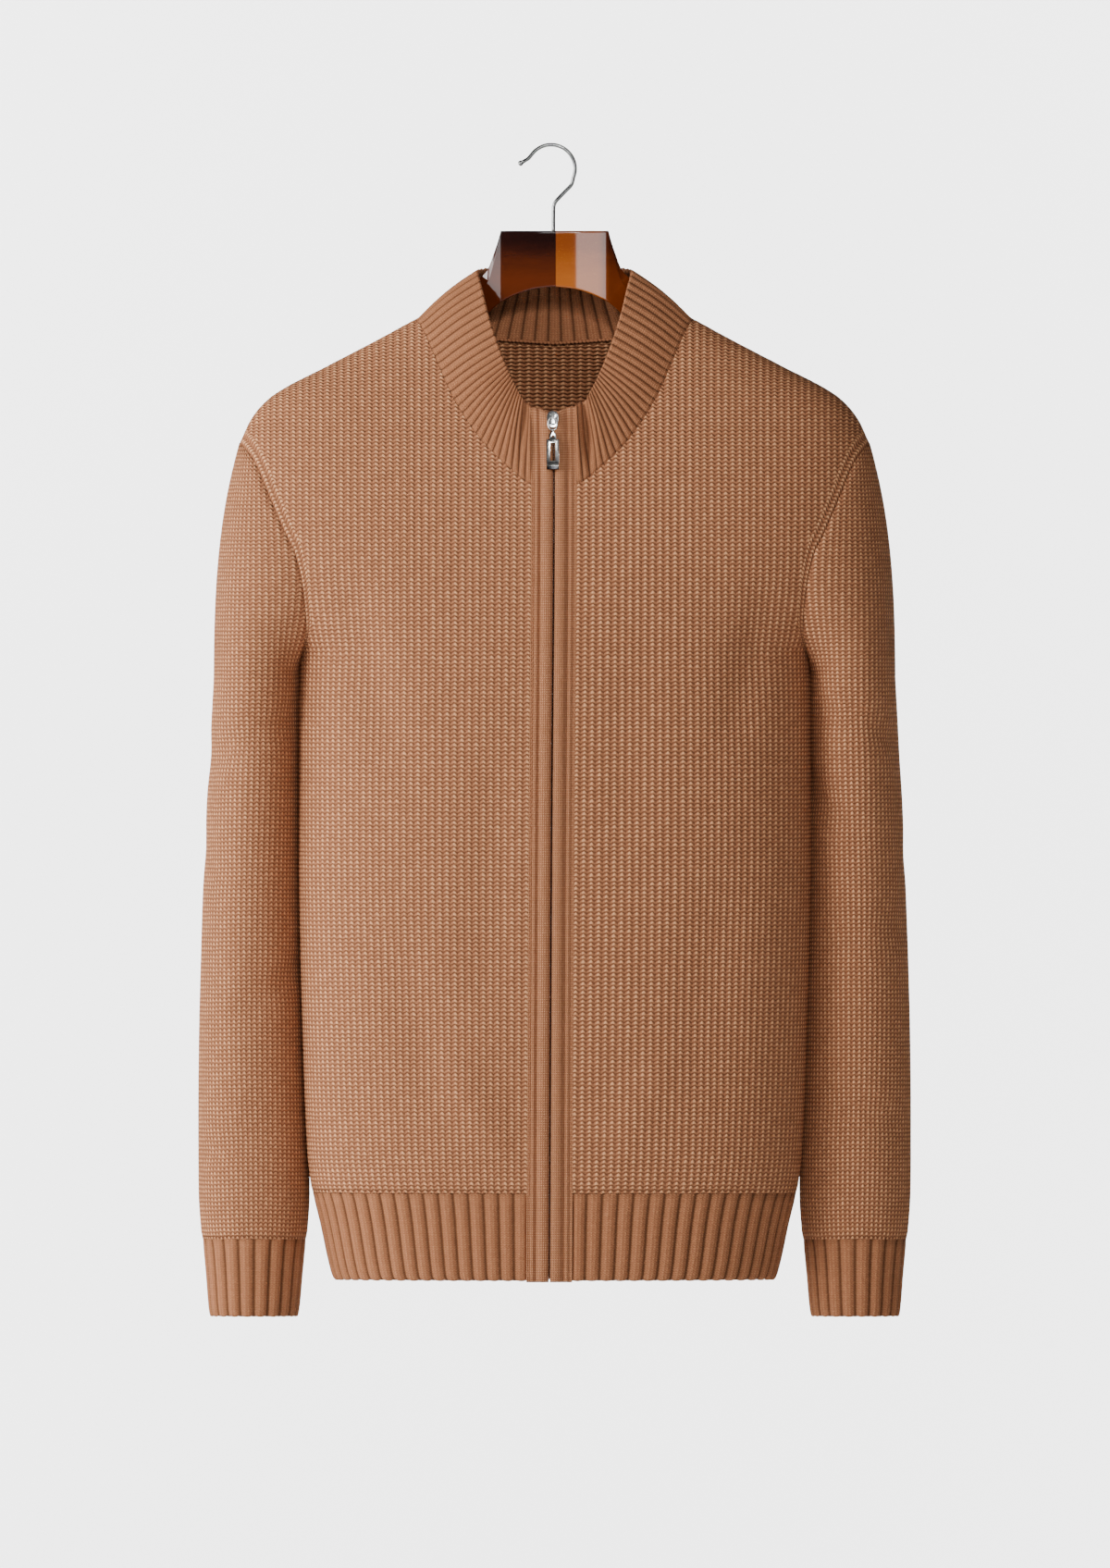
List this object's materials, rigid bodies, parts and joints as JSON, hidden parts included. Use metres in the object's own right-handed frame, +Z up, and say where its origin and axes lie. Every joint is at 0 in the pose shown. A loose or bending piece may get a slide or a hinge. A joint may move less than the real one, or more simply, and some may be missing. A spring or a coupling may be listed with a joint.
{
  "type": "ribbed zip cardigan on a wooden hanger",
  "caption": "Knitted wool zip cardigan with ribbed stand collar, cuffs and hem, hanging on a varnished wooden hanger with a steel hook.",
  "frame": {"origin": "the inside of the hanger hook's bend, where a rail carries it", "axes": "+Z up, -Y the front, +X towards the wearer's left"},
  "size_m": [0.5092, 0.1795, 0.8396],
  "materials": {
    "knit": "soft matt half cardigan wool knit",
    "rib": "soft matt wool rib knit",
    "placket": "soft matt rolled wool knit strip",
    "zip_tape": "woven zip tape, matt",
    "zip_metal": "polished",
    "zip_pull_metal": "polished, dark foot",
    "hanger_wood": "gloss varnish",
    "hook_metal": "polished"
  },
  "bodies": {
    "garment": {"front_left": "knit", "front_right": "knit", "back": "knit", "sleeve_left": "knit", "sleeve_right": "knit", "cuff_left": "rib", "cuff_right": "rib", "hem_front_left": "rib", "hem_front_right": "rib", "hem_back": "rib", "collar": "rib", "placket_left": "placket", "placket_right": "placket", "zip_tape_left": "zip_tape", "zip_tape_right": "zip_tape", "zip_slider": "zip_metal", "hanger_left": "hanger_wood", "hanger_right": "hanger_wood", "hook_wire": "hook_metal", "hook_tip": "hook_metal"},
    "link": {"zip_link": "zip_metal"},
    "pull": {"zip_pull": "zip_pull_metal"}
  },
  "joints": [
    {"name": "link_swing", "type": "hinge", "parent": "garment", "child": "link", "pos_m": [-0.00131, -0.06966, -0.19395], "axis": [-1, 0, 0], "range_deg": [0, 120]},
    {"name": "pull_swing", "type": "hinge", "parent": "link", "child": "pull", "pos_m": [-0.00131, -0.07182, -0.2033], "axis": [-1, 0, 0], "range_deg": [0, 90]}
  ]
}
